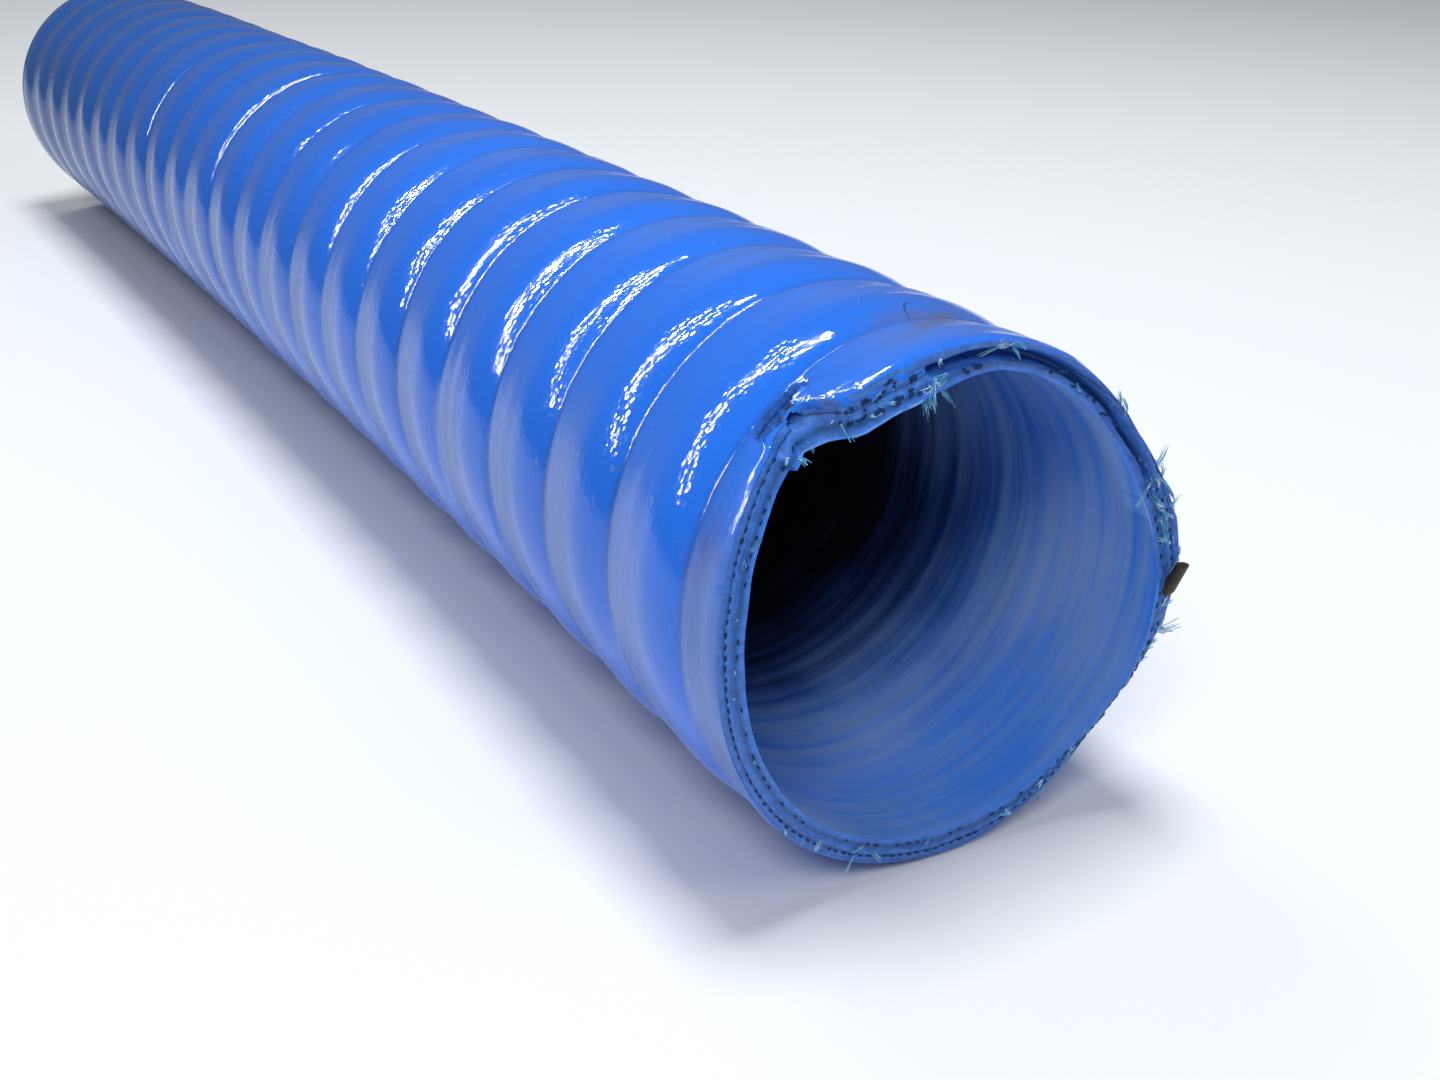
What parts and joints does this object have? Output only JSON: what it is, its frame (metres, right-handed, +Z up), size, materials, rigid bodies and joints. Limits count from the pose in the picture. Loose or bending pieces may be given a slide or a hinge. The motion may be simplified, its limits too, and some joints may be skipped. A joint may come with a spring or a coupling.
{
  "type": "marine exhaust hose",
  "caption": "Straight length of wire-reinforced silicone exhaust hose with a helically ribbed outside, a smooth bore, one square end and one rough hand-cut end.",
  "frame": {"origin": "on the floor, under the middle of the hose's box", "axes": "+X along the hose towards the hand-cut end, +Z up, +Y to the right when facing the hand-cut end"},
  "size_m": [0.5614, 0.0896, 0.0857],
  "materials": {
    "silicone": "fabric-marked blue silicone, satin, dusty",
    "wire": "dull, lightly rusted spring steel"
  },
  "bodies": {
    "root": {"hose_wall": "silicone", "wire_helix": "wire"}
  },
  "joints": []
}
